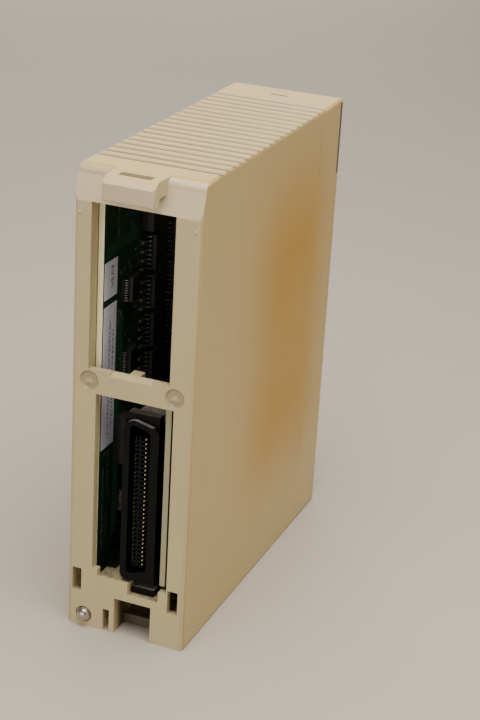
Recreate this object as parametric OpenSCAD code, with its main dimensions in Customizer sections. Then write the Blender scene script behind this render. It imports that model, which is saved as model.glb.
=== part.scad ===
// Rack-mounted controller module: a moulded case that hangs on a base unit by a hook and a
// latch notch, with two circuit boards, a rear bus connector and a removable terminal block.
// X is the width, +Y the rear (mounting) side, -Y the front, +Z up. The origin is the middle of
// the bottom of the bounding box.

/* [Case] */
// Width of the module, one slot of the base unit
case_w = 34.5; // [34:0.1:35]
// Height of the module
case_h = 130; // [129.5:0.1:131]
// Depth from the rear mounting plane to the front face
case_d = 100.5; // [100:0.5:102]
// Wall thickness of the moulded case
wall = 2; // [1.8:0.1:2.2]
// Radius of the long outer edges
edge_r = 1.1; // [0.8:0.1:1.4]
// Radius of the upright edges at the front
front_r = 0.35; // [0.3:0.05:0.4]
// Thickness of the front rim and of the indicator window
rim_t = 1.85; // [1.6:0.05:2.2]

/* [Louvres] */
// Number of cooling grooves across the top
groove_n = 19; // [12:1:19]
// Distance from one groove to the next
groove_pitch = 4.1; // [4:0.05:4.15]
// Width of a groove at its bottom
groove_w = 1.3; // [1.2:0.1:1.6]
// Depth of a groove
groove_depth = 0.9; // [0.8:0.1:1.4]

/* [Hook] */
// Width of the upper hook
hook_w = 14; // [12:0.5:16]
// How far the hook stands out behind the rear plane
hook_reach = 6.05; // [5.5:0.05:6.5]
// Gap between the hook's lip and the rear plane
hook_gap = 2.75; // [2.5:0.05:3]

/* [Boards] */
// Thickness of each circuit board
board_t = 1.6; // [1.5:0.05:1.6]
// Contacts in each row of the rear bus connector
contact_n = 30; // [20:1:30]
// Distance from one bus contact to the next
contact_pitch = 1.27; // [1.2:0.01:1.27]

/* [Locating pin] */
// Radius of the metal locating pin
pin_r = 1.9; // [1.7:0.05:2]
// Straight length of the pin outside the case
pin_len = 0.6; // [0.5:0.1:1]

/* [Terminal block] */
// Terminals in the left column, the right one has one fewer
terminal_n = 10; // [8:1:10]
// Distance from one terminal to the next
terminal_pitch = 8.6; // [8.2:0.1:8.6]

/* [Hidden] */
$fn = 48;
eps = 0.02;

ivory = [0.80, 0.76, 0.68];
board_green = [0.05, 0.30, 0.16];
black_plastic = [0.08, 0.08, 0.09];
gold = [0.85, 0.68, 0.32];
steel = [0.75, 0.75, 0.77];
brass = [0.78, 0.62, 0.34];

// Main planes
rear_y = (case_d - hook_reach) / 2;
front_y = rear_y - case_d;
rim_y = front_y + rim_t;
half_w = case_w / 2;
in_x = half_w - wall;
floor_t = 2.3;
roof_t = 2.5;
in_z1 = case_h - roof_t;
crease_z = case_h - 9;
lean = 2.5;
window_z = 108;
lip_z = case_h - 0.9;

// Rear wall openings
up_win = [-10.5, 12.5, 76.3, 121.1];
low_win = [-11.9, 10.2, 16.2, 69.7];

// Boards
main_x = 10.95;
main_rear_y = rear_y - 4.4;
main_front_y = front_y + 19;
main_z0 = 8;
main_z1 = case_h - 5;
bus_x = -8.5;
bus_rear_y = rear_y - 3;
bus_front_y = rear_y - 40;
bus_z0 = 16.4;
bus_z1 = 72;

// Bus connector
con_mouth_y = rear_y - 1;
con_face_y = rear_y - 2.2;
con_back_y = rear_y - 13;
con_x0 = -7.5;
con_x1 = 2.4;
con_pocket = 7;
tongue_x0 = -3.7;
tongue_x1 = -0.8;
row_mid_z = 40.7;

// Latch notch in the lower rear edge
notch_x0 = -7.5;
notch_x1 = 3.3;
notch_z = 10.8;
notch_d = 6.6;

// Locating pin
pin_x = 12.4;
pin_z = 3.5;

// Front
bay_x = 14;
bay_z0 = 5;
bay_z1 = 106;
sleeve_x = in_x - 0.2;
sleeve_y = front_y + 17;
snap_y0 = rear_y - 84.2;
snap_y1 = rear_y - 81.9;
snap_z = [[20.8, 32.4], [110.6, 124.6]];
lamp_board_y = front_y + 11;
switch_x = 8.6;
switch_z = 117;
peg_x = 13.8;
peg_z = 122;

// Terminal block
block_x = bay_x - 0.35;
block_z0 = bay_z0 + 0.5;
block_z1 = bay_z1 - 0.5;
block_back_y = front_y + 15.2;
deck_y = front_y + 8;
terminal_z0 = 16.2;
term_x = 7.2;
board_y = front_y + 20.2;
plug_x = 4.6;
plug_z0 = 13;
plug_z1 = 98;
plug_front_y = front_y + 9.6;
screw_xz = [[0, 9.2], [0, 101.8]];
hinge_x = 12.1;
hinge_y = front_y + 1.95;
hinge_r = 0.75;
ear_t = 1.6;

function terminal_places() = [
    for (i = [0 : terminal_n - 1]) [-term_x, terminal_z0 + i * terminal_pitch],
    for (i = [0 : terminal_n - 2]) [term_x, terminal_z0 + (i + 0.5) * terminal_pitch]
];

// Box from its low corner to its high corner
module block(x0, x1, y0, y1, z0, z1) {
    translate([x0, y0, z0]) cube([x1 - x0, y1 - y0, z1 - z0]);
}

// Cylinder along Y from y0 to y1
module rod_y(x, z, y0, y1, r) {
    translate([x, y0, z]) rotate([-90, 0, 0]) cylinder(r = r, h = y1 - y0);
}

// Rectangle from corner to corner, with round corners
module round_rect(x0, x1, y0, y1, r) {
    translate([x0 + r, y0]) square([x1 - x0 - 2 * r, y1 - y0]);
    translate([x0, y0 + r]) square([x1 - x0, y1 - y0 - 2 * r]);
    for (x = [x0 + r, x1 - r]) for (y = [y0 + r, y1 - r]) translate([x, y]) circle(r);
}

// Outline in X and Z, extruded along Y
module along_y(y0, y1) {
    translate([0, y1, 0]) rotate([90, 0, 0]) linear_extrude(y1 - y0) children();
}

// Outline in Y and Z, extruded along X
module along_x(x0, x1) {
    translate([x0, 0, 0]) rotate([90, 0, 90]) linear_extrude(x1 - x0) children();
}

// Side outline of the case: the rear wall leans in above the crease and turns into the roof
module side_outline(y0, inset) {
    round_r = 2.4;
    top = case_h - inset;
    back = rear_y - inset;
    polygon([
        [y0, inset], [back, inset], [back, crease_z], [back - lean * 0.8, top - round_r],
        [back - lean * 0.8 - round_r, top], [y0, top]
    ]);
    translate([back - lean * 0.8 - round_r, top - round_r]) circle(round_r);
}

// Everything inside the outer surface of the case, with its edges rounded
module outer_form(y0, y1) {
    intersection() {
        along_x(-half_w, half_w) side_outline(y0, 0);
        linear_extrude(case_h) {
            round_rect(-half_w, half_w, front_y + 5, rear_y, edge_r);
            round_rect(-half_w, half_w, front_y, rear_y - 5, front_r);
        }
        along_y(y0, y1) round_rect(-half_w, half_w, 0, case_h, edge_r * 0.8);
    }
}

// One cooling groove, with sloping sides and round shoulders
module groove_outline() {
    slope_w = 0.3;
    shoulder_r = 0.3;
    top_w = groove_w / 2 + slope_w;
    polygon([
        [-groove_w / 2, -groove_depth], [groove_w / 2, -groove_depth], [top_w, -shoulder_r],
        [top_w, 1], [-top_w, 1], [-top_w, -shoulder_r]
    ]);
    for (side = [-1, 1]) difference() {
        translate([side * (top_w + shoulder_r / 2), 0])
            square([shoulder_r + eps, 2 * shoulder_r], center = true);
        translate([side * (top_w + shoulder_r), -shoulder_r]) circle(shoulder_r);
    }
}

// Roof grooves that cross the whole width, and the slots that go through their floors
module louvres() {
    first_y = rear_y - 11.75;
    for (i = [0 : groove_n - 1]) {
        y = first_y - i * groove_pitch;
        along_x(-half_w - 1, half_w + 1) translate([y, case_h]) groove_outline();
        for (s = [[-in_x + 0.1, -11.6], [-7.7, 7.5], [11.9, in_x - 0.1]])
            block(s[0], s[1], y - groove_w / 2, y + groove_w / 2, in_z1 - 1, case_h);
    }
}

// Slots through the floor of the case
module floor_slots() {
    slot_n = 12;
    slot_pitch = 6;
    for (i = [0 : slot_n - 1]) {
        y = rear_y - 20 - i * slot_pitch;
        block(-8, 8, y - 1, y + 1, -1, floor_t + 1);
    }
}

// Moulded ring mark: a dished recess with a raised triangle in the middle
module ring_mark(x, z) {
    depth = 0.6;
    translate([x, rear_y - depth, z]) rotate([-90, 0, 0]) difference() {
        union() {
            cylinder(r1 = 2.15, r2 = 2.7, h = depth);
            translate([0, 0, depth - eps]) cylinder(r = 2.7, h = 1);
        }
        translate([0, 0, -eps]) linear_extrude(depth - 0.1)
            polygon([[-1.3, 0.6], [1.3, 0.6], [0, -0.9]]);
    }
}

// Hook that hangs on the upper edge of the base unit
module hook() {
    lip_y = rear_y + hook_gap;
    end_y = rear_y + hook_reach;
    difference() {
        intersection() {
            along_x(-hook_w / 2, hook_w / 2) polygon([
                [rear_y - 6, case_h], [lip_y + 0.6, case_h], [end_y, case_h - 1.6],
                [end_y, case_h - 5.7], [end_y - 0.4, case_h - 6.1], [lip_y + 0.7, case_h - 6.1],
                [lip_y, case_h - 5.2], [lip_y, case_h - 4.2], [rear_y - 6, case_h - 4.2]
            ]);
            linear_extrude(case_h) round_rect(-hook_w / 2, hook_w / 2, rear_y - 12, end_y, 0.8);
        }
        block(-4.4, 4.4, rear_y - 0.3, rear_y + 2.5, case_h - 5, case_h + 1);
    }
}

// Pairs of ribs that hold the edges of the main board
module board_guides() {
    rib_t = 1.2;
    gap = 0.15;
    for (x = [main_x - gap - rib_t, main_x + board_t + gap]) {
        block(x, x + rib_t, main_front_y + 2, main_rear_y - 8, floor_t - eps, main_z0 + 2);
        block(x, x + rib_t, main_front_y + 2, main_rear_y, main_z1 - 2, in_z1 + eps);
    }
    block(main_x + board_t + gap, in_x + eps, rear_y - 4.4, rear_y - wall + eps, 70, 122);
}

// Walls around the latch notch, the tray over it and the boss for the locating pin
module lower_structure() {
    wall_y = rear_y - wall + eps;
    tray_z = 16.2;
    tray_t = 2;
    edge_z = 2.9;
    tray_y = rear_y - 6.2;
    block(notch_x1, notch_x1 + 1.45, rear_y - notch_d, wall_y, 0, tray_z - tray_t + eps);
    block(notch_x0 - 1.5, notch_x0, rear_y - notch_d, wall_y, floor_t - eps, 12.7);
    block(notch_x0 - 1.5, notch_x1 + 1.45, rear_y - notch_d - 1.4, rear_y - notch_d + eps,
          0, edge_z);
    block(notch_x0 - 1.5, notch_x1 + 1.45, rear_y - notch_d - 1.4, wall_y, notch_z, 12.7);
    block(-0.5, 8.6, tray_y, wall_y, tray_z - tray_t, tray_z);
    block(7.2, 8.6, tray_y, wall_y, floor_t - eps, tray_z - tray_t + eps);
    block(4.4, 5.9, rear_y - 11, tray_y + eps, floor_t - eps, tray_z - 0.4);
    block(-11, -8.4, rear_y - 36, rear_y - 30, floor_t - eps, bus_z0 - 0.2);
    block(9.4, in_x + eps, rear_y - 10, wall_y, floor_t - eps, 7.2);
    block(13.4, in_x + eps, rear_y - 7, rear_y - 4.6, 7, 14.6);
}

// Moulded case: rear wall, both sides, roof and floor in one piece, open at the front
module main_case() {
    color(ivory) {
        difference() {
            union() {
                difference() {
                    outer_form(rim_y, rear_y);
                    intersection() {
                        block(-in_x, in_x, front_y - 1, rear_y - wall, floor_t, in_z1);
                        along_x(-half_w, half_w) side_outline(front_y - 1, wall);
                    }
                    louvres();
                    floor_slots();
                    // Upper and lower rear windows
                    block(up_win[0], up_win[1], rear_y - wall - 1, rear_y + 1, up_win[2], up_win[3]);
                    block(low_win[0], 8.6, rear_y - wall - 1, rear_y + 1, low_win[2], low_win[3]);
                    block(8.5, low_win[1], rear_y - wall - 1, rear_y + 1, 18.3, low_win[3]);
                    block(-9.5, -0.5, rear_y - wall - 1, rear_y + 1, 12.7, 20);
                    // Latch notch, narrow slot beside it, and the two small side openings
                    block(notch_x0, notch_x1, rear_y - notch_d, rear_y + 1, -1, floor_t + 1);
                    block(notch_x0, notch_x1, rear_y - wall - 1, rear_y + 1, -1, notch_z);
                    block(4.75, 6.65, rear_y - 5, rear_y + 1, -1, floor_t + 1);
                    block(4.75, 6.65, rear_y - wall - 1, rear_y + 1, -1, 6.7);
                    block(-in_x, -12.25, rear_y - wall - 1, rear_y + 1, 10.5, 17.4);
                    block(13.3, 16, rear_y - 6, rear_y + 1, 10.5, 17.4);
                    // Sloping stretch in the top edge of the crossbar
                    along_x(-5.7, 6.3) polygon([
                        [rear_y + 1, up_win[2] - 1.5], [rear_y - 1.8, up_win[2] - 0.1],
                        [rear_y - 1.8, up_win[2] + 1], [rear_y + 1, up_win[2] + 1]
                    ]);
                    // Windows that the bezel's snaps click into
                    for (s = snap_z) for (side = [-1, 1])
                        block(side * half_w - wall - 1, side * half_w + wall + 1,
                              snap_y0, snap_y1, s[0], s[1]);
                    // Small slot in the plain front part of the roof
                    block(-2.6, 2.6, rear_y - 94, rear_y - 93, in_z1 - 1, case_h + 1);
                    for (x = [-12, 12.2]) ring_mark(x, 73.15);
                }
                hook();
                board_guides();
                lower_structure();
                // Tab behind the crossbar
                block(-1.35, 1.7, rear_y - 5, rear_y - wall + eps, 74.8, up_win[2]);
                for (x = [-15.8, 15.8]) translate([x, rear_y - 0.25, 118]) sphere(0.55);
            }
            // Seat and bore of the locating pin
            rod_y(pin_x, pin_z, rear_y - 1, rear_y + 1, pin_r + 0.5);
            rod_y(pin_x, pin_z, rear_y - 8, rear_y, 1.5);
        }
    }
}

// Front frame: rim, sleeve around the terminal bay, snaps, and the seat of the indicators
module front_bezel() {
    seat_y = front_y + 3.4;
    color(ivory) {
        // Web that joins the narrow top lip to the sleeve
        block(-14, 14, rim_y - 0.7, rim_y - 0.15, in_z1 - 1.1, lip_z + eps);
        block(-14, 14, rim_y - 0.7, rim_y + 0.5, in_z1 - 1.1, in_z1 - 0.25);
        difference() {
            union() {
                intersection() {
                    outer_form(front_y, rear_y);
                    union() {
                        block(-half_w, half_w, front_y, rim_y - 0.1, 0, window_z - 0.15);
                        block(-half_w, half_w, front_y, rim_y - 0.1, lip_z, case_h);
                    }
                }
                block(-sleeve_x, sleeve_x, rim_y - 0.2, sleeve_y, floor_t + 0.2, in_z1 - 0.2);
                for (s = snap_z) for (side = [-1, 1]) {
                    inner = side * (sleeve_x - 0.6);
                    outer = side * (half_w - 0.06);
                    block(min(inner, outer), max(inner, outer), snap_y0 + 0.2, snap_y1 - 0.2,
                          s[0] + 0.2, s[1] - 0.2);
                    block(min(inner, side * sleeve_x), max(inner, side * sleeve_x),
                          sleeve_y - eps, snap_y1 - 0.2, s[0] + 0.2, s[1] - 0.2);
                }
            }
            block(-bay_x, bay_x, front_y - 1, sleeve_y + 1, bay_z0, bay_z1);
            block(-bay_x, bay_x, seat_y, sleeve_y + 1, window_z + 0.6, in_z1 - 1.2);
            block(-half_w, half_w, front_y - 1, rim_y, window_z - 0.15, lip_z);
            // Openings for the lamps and for the rotary switch, and holes for the window's pegs
            block(-12.6, 2.6, front_y - 1, seat_y + 1, 110.4, 124.4);
            rod_y(switch_x, switch_z, front_y - 1, seat_y + 1, 4.4);
            for (x = [-peg_x, peg_x]) rod_y(x, peg_z, front_y, rim_y + 0.8, 0.95);
            // Bores for the threaded inserts
            for (p = screw_xz) rod_y(p[0], p[1], block_back_y, sleeve_y + 3, 2.2);
        }
        // Bridges behind the bay that carry the threaded inserts
        for (p = screw_xz) difference() {
            block(-bay_x - eps, bay_x + eps, block_back_y + 0.2, sleeve_y + 2, p[1] - 3, p[1] + 3);
            rod_y(p[0], p[1], block_back_y - 1, sleeve_y + 3, 2.2);
        }
    }
}

// Smoked window over the lamps, with an opening for the rotary switch
module indicator_window() {
    color([0.16, 0.12, 0.10]) {
        difference() {
            union() {
                intersection() {
                    outer_form(front_y, rear_y);
                    block(-half_w, half_w, front_y, rim_y - 0.1, window_z + 0.05, lip_z - 0.1);
                }
                for (x = [-peg_x, peg_x]) rod_y(x, peg_z, rim_y - 0.2, rim_y + 0.6, 0.9);
            }
            block(-14.2, 14.2, rim_y - 0.85, rim_y, in_z1 - 1.3, case_h);
            rod_y(switch_x, switch_z, front_y - 1, rim_y + 1, 3.4);
        }
    }
}

// Clear guide that carries the light of each lamp to the window
module light_guide() {
    color([0.85, 0.88, 0.90]) {
        block(-12.4, 2.4, rim_y + 0.2, rim_y + 1.4, 110.6, 124.2);
        for (p = lamp_places()) rod_y(p[0], p[1], rim_y + 1.3, lamp_board_y - 2.7, 0.9);
    }
}

function lamp_places() = [
    for (i = [0 : 3]) for (j = [0 : 3]) [-10.6 + i * 3.8, 112.3 + j * 3.4]
];

// Small board behind the window for the lamps and the rotary switch
module indicator_board() {
    color(board_green)
        block(-13.9, 13.9, lamp_board_y, lamp_board_y + board_t, window_z + 0.8, in_z1 - 1.4);
}

// Indicator lamps
module indicator_lamps() {
    color([0.75, 0.25, 0.15]) {
        for (p = lamp_places()) {
            rod_y(p[0], p[1], lamp_board_y - 1.7, lamp_board_y, 1.3);
            translate([p[0], lamp_board_y - 1.7, p[1]]) sphere(0.9);
        }
    }
}

// Rotary switch that sets the unit number: fixed body
module unit_switch_body() {
    color([0.10, 0.18, 0.42]) {
        difference() {
            block(switch_x - 4, switch_x + 4, front_y + 3.6, lamp_board_y,
                  switch_z - 4, switch_z + 4);
            rod_y(switch_x, switch_z, front_y + 2, front_y + 5.2, 3.05);
        }
    }
}

// Rotary switch that sets the unit number: turning dial with an arrow slot
module unit_switch_rotor() {
    color([0.92, 0.92, 0.90]) {
        difference() {
            rod_y(switch_x, switch_z, front_y + 2.3, front_y + 5.1, 3);
            block(switch_x - 0.4, switch_x + 0.4, front_y + 2, front_y + 3.3,
                  switch_z - 2.2, switch_z + 1.2);
            translate([switch_x, front_y + 2, switch_z + 1.1]) rotate([-90, 30, 0])
                cylinder(r = 1.2, h = 1.3, $fn = 3);
        }
    }
}

// Main circuit board, upright along the left side
module main_board() {
    color(board_green)
        block(main_x, main_x + board_t, main_front_y, main_rear_y, main_z0, main_z1);
}

// Paper stickers near the rear edge of the main board
module board_labels() {
    thick = 0.12;
    color([0.90, 0.90, 0.92])
        for (z = [[93.3, 103.4], [50.9, 91.3]])
            block(main_x - thick, main_x, rear_y - 12.2, rear_y - 5.05, z[0], z[1]);
}

// Long narrow chips in two upright lines: their places along Z and the lines' middles along Y
function line_chips_z() = [for (i = [0 : 3]) 65.5 + i * 11.15];
function line_chips_y() = [rear_y - 33.2, rear_y - 46.2];
chip_len = 9.9;
chip_half = 1.95;
lead_reach = 3;
lead_n = 8;

// Small chips close to the rear edge: their places along Z and their half lengths
function small_chips() = [[31.2, 3.7], [72.2, 3.4], [92.6, 3.5]];
small_y0 = rear_y - 22.2;
small_y1 = rear_y - 17.9;

// Control chips on the main board
module logic_chips() {
    color(black_plastic) {
        for (y = line_chips_y()) for (z = line_chips_z())
            block(main_x - 2.1, main_x - 0.15, y - chip_half, y + chip_half,
                  z - chip_len / 2, z + chip_len / 2);
        for (c = small_chips())
            block(main_x - 1.9, main_x - 0.15, small_y0, small_y1, c[0] - c[1], c[0] + c[1]);
        block(main_x - 3.4, main_x - 0.15, rear_y - 18.3, rear_y - 12.9, 44.3, 57.7);
        block(main_x - 3.6, main_x - 0.15, rear_y - 38, rear_y - 26, 106.5, 119);
        block(main_x - 3.2, main_x - 0.15, rear_y - 54, rear_y - 36, 22, 40);
        block(main_x - 3.6, main_x - 0.15, rear_y - 66, rear_y - 52, 70, 104);
    }
}

// Metal leads of the chips
module chip_leads() {
    small_n = 9;
    small_pitch = 0.7;
    color(steel) {
        for (y = line_chips_y()) for (z = line_chips_z())
            for (side = [-1, 1]) for (i = [0 : lead_n - 1])
                lead(y + side * ((chip_half + lead_reach) / 2 + eps), lead_reach - chip_half,
                     z + (i - (lead_n - 1) / 2) * 1.27, 0.22);
        for (c = small_chips()) for (i = [0 : small_n - 1]) {
            z = c[0] + (i - (small_n - 1) / 2) * small_pitch;
            lead(small_y1 + 1.07, 2.1, z, 0.15);
            lead(small_y0 - 1.07, 2.1, z, 0.15);
        }
    }
}

// One flat lead, centred at y, running from a chip to the board
module lead(y, length, z, half_w) {
    block(main_x - 1.1, main_x, y - length / 2, y + length / 2, z - half_w, z + half_w);
}

// Round smoothing capacitors lying against the main board
module smoothing_capacitors() {
    color([0.10, 0.14, 0.30]) {
        for (z = [50, 59.5]) translate([main_x - 4.1, front_y + 26, z])
            rotate([-90, 0, 0]) cylinder(r = 4, h = 14);
        for (z = [112, 119]) translate([main_x - 5.6, rear_y - 60, z])
            rotate([0, 90, 0]) cylinder(r = 3.1, h = 5.6);
    }
}

// Potted transformer of the isolated supply
module isolation_transformer() {
    color([0.14, 0.13, 0.12]) {
        block(main_x - 10.6, main_x, front_y + 26, front_y + 46, 16, 40);
        block(main_x - 11.4, main_x - 10.5, front_y + 28, front_y + 44, 18, 38);
    }
}

// Light-coupled isolators between the field side and the logic side
module opto_couplers() {
    color([0.90, 0.88, 0.82])
        for (i = [0 : 7])
            block(main_x - 3.6, main_x, front_y + 26.5, front_y + 33, 66 + i * 5.4, 70.4 + i * 5.4);
}

// Crystal, resistor arrays and small block capacitors
module crystal_and_resistors() {
    color([0.62, 0.47, 0.24]) {
        block(main_x - 3.4, main_x, rear_y - 55, rear_y - 44, 112, 116);
        for (z = line_chips_z()) for (i = [-3, -1, 1, 3])
            block(main_x - 0.6, main_x, rear_y - 28.2, rear_y - 26.6,
                  z + i * 1.27 - 0.4, z + i * 1.27 + 0.4);
        for (p = [[14.6, 98.2], [20.2, 98.2], [20.8, 77]])
            translate([main_x - 0.5, rear_y - p[0], p[1]]) sphere(0.55);
    }
}

// Bus board, upright along the right side at the lower rear
module bus_board() {
    color(board_green) block(bus_x - board_t, bus_x, bus_front_y, bus_rear_y, bus_z0, bus_z1);
}

// Line drivers on the bus board
module bus_driver_chips() {
    color(black_plastic)
        for (z = [24, 36, 48, 60])
            block(bus_x, bus_x + 2.2, rear_y - 23, rear_y - 16, z - 5, z + 5);
}

// Outward direction of the line that touches two circles on their left side
function touch(p, q) =
    let (way = atan2(q[1] - p[1], q[0] - p[0]),
         turn = acos((p[2] - q[2]) / norm([q[0] - p[0], q[1] - p[1]])))
    [cos(way + turn), sin(way + turn)];

// Closed outline around circles, each given as [x, z, radius] and listed clockwise
module round_outline(c) {
    n = len(c);
    polygon([
        for (i = [0 : n - 1]) for (j = [i, (i + 1) % n])
            [c[j][0] + c[j][2] * touch(c[i], c[(i + 1) % n])[0],
             c[j][1] + c[j][2] * touch(c[i], c[(i + 1) % n])[1]]
    ]);
    for (p = c) translate([p[0], p[1]]) circle(p[2]);
}

// Outside of the connector's shroud: its ends slope and its right corners are wide
module shroud_outline() {
    round_outline([
        [con_x0 + 2.3, 21.2, 2.3], [con_x0 + 2.3, 60.8, 2.3], [con_x1 - 3.2, 60.9, 3.2],
        [con_x1 - 1.9, 19, 1.9]
    ]);
}

// Inside of the connector's shroud
module pocket_outline() {
    round_outline([
        [con_x0 + 3.6, 21.5, 1.3], [con_x0 + 3.6, 60.5, 1.3], [con_x1 - 3.1, 61.3, 1.4],
        [con_x1 - 2.7, 20.2, 1]
    ]);
}

// Rear bus connector: flange, body, lower ear, sloping shroud and the middle tongue
module bus_connector_housing() {
    floor_y = con_mouth_y - con_pocket;
    flange_x0 = con_x0 + 0.2;
    flange_x1 = con_x1 - 0.7;
    flange_y = con_face_y - 2.7;
    color(black_plastic) {
        difference() {
            union() {
                block(flange_x0, flange_x1, flange_y, con_face_y, 16.5, 65.8);
                block(flange_x0, flange_x1, con_back_y, flange_y + eps, 19, 63.4);
                block(flange_x0, -0.8, con_face_y - 6, con_face_y, 13, 14.9);
                block(flange_x0, -0.8, con_face_y - 6, flange_y, 14.8, 19.1);
                block(bus_x, con_x0 + 0.3, con_back_y, rear_y - 7, 19, 63.4);
                along_y(con_face_y - eps, con_mouth_y) shroud_outline();
            }
            along_y(floor_y, con_mouth_y + 1) pocket_outline();
        }
        difference() {
            block(tongue_x0, tongue_x1, floor_y - eps, con_mouth_y - 0.4, 21.8, 59.6);
            for (i = [0 : contact_n - 1]) for (side = [-1, 1])
                block((tongue_x0 + tongue_x1) / 2 + side * 0.95 - 0.7,
                      (tongue_x0 + tongue_x1) / 2 + side * 0.95 + 0.7, floor_y + 1, con_mouth_y,
                      contact_z(i) - 0.36, contact_z(i) + 0.36);
        }
    }
}

function contact_z(i) = row_mid_z + (i - (contact_n - 1) / 2) * contact_pitch;

// Two rows of sprung contacts beside the tongue
module bus_connector_contacts() {
    floor_y = con_mouth_y - con_pocket;
    color(gold)
        for (i = [0 : contact_n - 1]) for (side = [-1, 1]) {
            x = side < 0 ? tongue_x0 - 0.15 : tongue_x1 + 0.05;
            block(x - 0.25, x + 0.25, floor_y - 2, con_mouth_y - 0.7, contact_z(i) - 0.22,
                  contact_z(i) + 0.22);
        }
}

link_y0 = rear_y - 32.5;
link_y1 = rear_y - 27.5;
link_z0 = 20;
link_z1 = 58;
link_mid_x = 1.2;

// Stacking connector between the boards: half on the main board
module board_link_socket() {
    color(black_plastic)
        block(link_mid_x + 0.1, main_x, link_y0, link_y1, link_z0, link_z1);
}

// Stacking connector between the boards: half on the bus board
module board_link_plug() {
    color([0.13, 0.13, 0.14])
        block(bus_x, link_mid_x, link_y0, link_y1, link_z0, link_z1);
}

// Solder tails of the stacking connector, behind the bus board
module board_link_pins() {
    tail_n = 14;
    color(gold)
        for (i = [0 : tail_n - 1]) for (y = [link_y0 + 1.2, link_y1 - 1.2])
            block(bus_x - board_t - 1.2, bus_x - board_t, y - 0.3, y + 0.3,
                  link_z0 + 2 + i * 2.54, link_z0 + 2.6 + i * 2.54);
}

// Angled header that joins the terminal board to the main board
module front_link_header() {
    color(black_plastic)
        block(main_x - 2.6, main_x, board_y + board_t, board_y + board_t + 2.6, 14, 64);
}

// Metal locating pin with a round nose, pressed into the case
module locating_pin() {
    nose_r = pin_r * 2 / sqrt(3);
    color(steel) {
        rod_y(pin_x, pin_z, rear_y - 7.8, rear_y - 0.9, 1.5);
        rod_y(pin_x, pin_z, rear_y - 0.95, rear_y, pin_r + 0.2);
        intersection() {
            rod_y(pin_x, pin_z, rear_y - 0.5, rear_y + 3, pin_r);
            translate([pin_x, rear_y + pin_len - nose_r / 2, pin_z]) sphere(nose_r);
        }
    }
}

// Board behind the bay that carries the fixed half of the terminal connector
module terminal_board() {
    color(board_green)
        block(-13.6, main_x - 0.2, board_y, board_y + board_t, 14, 97.5);
}

// Fixed half of the terminal connector
module terminal_header() {
    color(black_plastic)
        block(-plug_x + 1.2, plug_x - 1.2, plug_front_y + 1, board_y, plug_z0 + 2, plug_z1 - 2);
}

// Flat contact strips on both sides of the fixed half
module terminal_header_strips() {
    color(gold)
        for (p = terminal_places()) {
            side = p[0] < 0 ? -1 : 1;
            z = plug_strip_z(p[1]);
            x0 = side * (plug_x - 1.2);
            x1 = side * (plug_x - 0.95);
            block(min(x0, x1), max(x0, x1), plug_front_y + 2, board_y, z - 0.8, z + 0.8);
        }
}

// Strips sit a little closer together than the terminals, so all of them fit on the plug
function plug_strip_z(z) = 55.5 + (z - 55.5) * 0.9;

// Threaded brass inserts for the block's two fixing screws
module screw_inserts() {
    color(brass)
        for (p = screw_xz) difference() {
            rod_y(p[0], p[1], block_back_y + 0.3, sleeve_y + 2, 2.2);
            rod_y(p[0], p[1], block_back_y, sleeve_y + 3, 1.55);
        }
}

// Removable terminal block: stepped body, barriers, hinge ears and the plug pocket
module terminal_block() {
    barrier_t = 1.1;
    front = front_y + 4.2;
    end_h = 7.2;
    color([0.16, 0.16, 0.17]) {
        difference() {
            union() {
                block(-block_x, block_x, deck_y, block_back_y, block_z0, block_z1);
                // Solid ends that hold the fixing screws
                block(-block_x, block_x, front, deck_y + eps, block_z0, block_z0 + end_h);
                block(-block_x, block_x, front, deck_y + eps, block_z1 - end_h, block_z1);
                // Middle rib and the barriers between terminals
                block(-1.2, 1.2, front + 0.6, deck_y + eps, block_z0 + 7, block_z1 - 7);
                for (p = terminal_places()) for (side = [-1, 1]) {
                    z = p[1] + side * terminal_pitch / 2;
                    block(p[0] < 0 ? -block_x : 0, p[0] < 0 ? 0 : block_x, front, deck_y + eps,
                          z - barrier_t / 2, z + barrier_t / 2);
                }
                // Ears for the cover's hinge pins
                for (z = [block_z0 + 0.4, block_z1 - 0.4 - ear_t]) {
                    block(hinge_x - 1.5, block_x, hinge_y, front + eps, z, z + ear_t);
                    translate([hinge_x, hinge_y, z]) cylinder(r = 1.5, h = ear_t);
                }
            }
            block(-plug_x, plug_x, plug_front_y, block_back_y + 1, plug_z0, plug_z1);
            for (z = [block_z0, block_z1 - ear_t - 1])
                translate([hinge_x, hinge_y, z]) cylinder(r = hinge_r, h = ear_t + 1);
            for (p = screw_xz) {
                rod_y(p[0], p[1], front - 1, front + 3, 3.1);
                rod_y(p[0], p[1], front - 1, block_back_y + 1, 1.6);
            }
            for (p = terminal_places())
                rod_y(p[0], p[1], deck_y - 1, deck_y + 5.5, 1.7);
        }
    }
}

// Square clamp plates under the terminal screws
module terminal_plates() {
    color(brass)
        for (p = terminal_places()) difference() {
            block(p[0] - 3.3, p[0] + 3.3, deck_y - 0.9, deck_y, p[1] - 3.3, p[1] + 3.3);
            rod_y(p[0], p[1], deck_y - 2, deck_y + 1, 1.7);
        }
}

// Terminal screws with pan heads and cross slots
module terminal_screws() {
    head_y = deck_y - 0.9;
    color(steel)
        for (p = terminal_places()) {
            difference() {
                rod_y(p[0], p[1], head_y - 2, head_y, 2.8);
                for (a = [0, 90]) translate([p[0], head_y - 1.4, p[1]]) rotate([0, a, 0])
                    cube([3.4, 1.4, 0.6], center = true);
            }
            rod_y(p[0], p[1], head_y - eps, deck_y + 5, 1.5);
        }
}

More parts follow.
